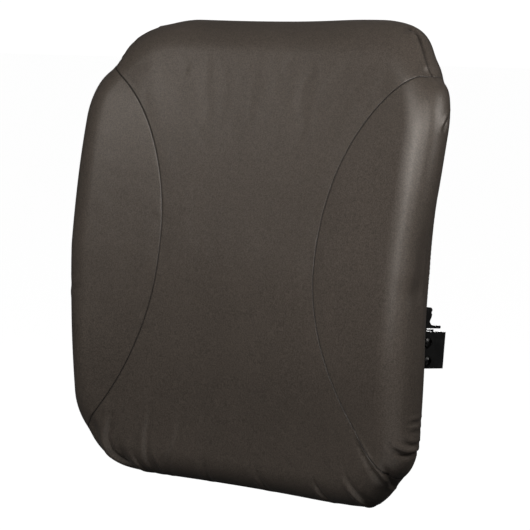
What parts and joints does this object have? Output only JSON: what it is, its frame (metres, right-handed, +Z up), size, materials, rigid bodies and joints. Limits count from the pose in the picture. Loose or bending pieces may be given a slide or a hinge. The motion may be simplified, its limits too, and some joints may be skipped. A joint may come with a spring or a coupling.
{
  "type": "wheelchair back support",
  "caption": "Contoured padded wheelchair back with hourglass centre panel, side bolsters, formed metal pan and quick-release side plates with height, depth and angle adjustment.",
  "frame": {"origin": "midway between the two side plates, on the back-angle pivot axis", "axes": "+X to the viewer's right from the front, +Y to the rear, +Z up"},
  "size_m": [0.457, 0.1339, 0.497],
  "materials": {
    "cover_cloth": "matte stretch knit",
    "elastic": "woven elastic",
    "soft_foam": "open cell foam",
    "firm_foam": "closed cell foam",
    "hook_tape": "hook and loop",
    "pan_coating": "satin powder coat",
    "edge_rubber": "matte",
    "coated_plate": "matte powder coat",
    "moulding": "moulded",
    "lever_coating": "satin black coat",
    "spring_steel": "bright",
    "black_fastener": "black oxide"
  },
  "bodies": {
    "side_plates": {"side_plate_left": "coated_plate", "side_plate_right": "coated_plate", "latch_rivet_left": "black_fastener", "latch_rivet_right": "black_fastener", "latch_spring_left": "spring_steel", "latch_spring_right": "spring_steel"},
    "adjusters": {"guide_shoe_left": "moulding", "guide_shoe_right": "moulding", "pivot_bolt_left": "black_fastener", "pivot_bolt_right": "black_fastener", "pivot_nut_left": "black_fastener", "pivot_nut_right": "black_fastener", "clamp_bolt_left": "black_fastener", "clamp_bolt_right": "black_fastener", "clamp_nut_left": "black_fastener", "clamp_nut_right": "black_fastener"},
    "brackets": {"bracket_left": "coated_plate", "bracket_right": "coated_plate", "pan_bolt_1_left": "black_fastener", "pan_nut_1_left": "black_fastener", "pan_bolt_2_left": "black_fastener", "pan_nut_2_left": "black_fastener", "pan_bolt_1_right": "black_fastener", "pan_nut_1_right": "black_fastener", "pan_bolt_2_right": "black_fastener", "pan_nut_2_right": "black_fastener"},
    "back": {"cover_middle_panel": "cover_cloth", "cover_side_panel_left": "cover_cloth", "cover_side_panel_right": "cover_cloth", "cover_elastic_binding": "elastic", "foam_comfort_layer": "soft_foam", "foam_core": "firm_foam", "foam_bolster_left": "firm_foam", "foam_bolster_right": "firm_foam", "lumbar_pad": "soft_foam", "hook_strip_lower": "hook_tape", "hook_strip_upper": "hook_tape", "pan": "pan_coating", "pan_edge_trim": "edge_rubber"},
    "latch_left": {"latch_lever_left": "lever_coating"},
    "latch_right": {"latch_lever_right": "lever_coating"}
  },
  "joints": [
    {"name": "back_angle", "type": "hinge", "parent": "side_plates", "child": "adjusters", "pos_m": [0, 0, 0], "axis": [1, 0, 0], "range_deg": [-15, 8]},
    {"name": "back_depth", "type": "slide", "parent": "adjusters", "child": "brackets", "axis": [0, 1, 0], "range_m": [-0.02, 0.005]},
    {"name": "back_height", "type": "slide", "parent": "brackets", "child": "back", "axis": [0, 0, 1], "range_m": [-0.015, 0.015]},
    {"name": "latch_left_release", "type": "hinge", "parent": "side_plates", "child": "latch_left", "pos_m": [-0.1816, -0.00839, 0.04121], "axis": [-1, 0, 0], "range_deg": [0, 14], "stiffness_Nm_per_rad": 0.4, "springref_deg": -22.92},
    {"name": "latch_right_release", "type": "hinge", "parent": "side_plates", "child": "latch_right", "pos_m": [0.1816, -0.00839, 0.04121], "axis": [-1, 0, 0], "range_deg": [0, 14], "stiffness_Nm_per_rad": 0.4, "springref_deg": -22.92}
  ]
}
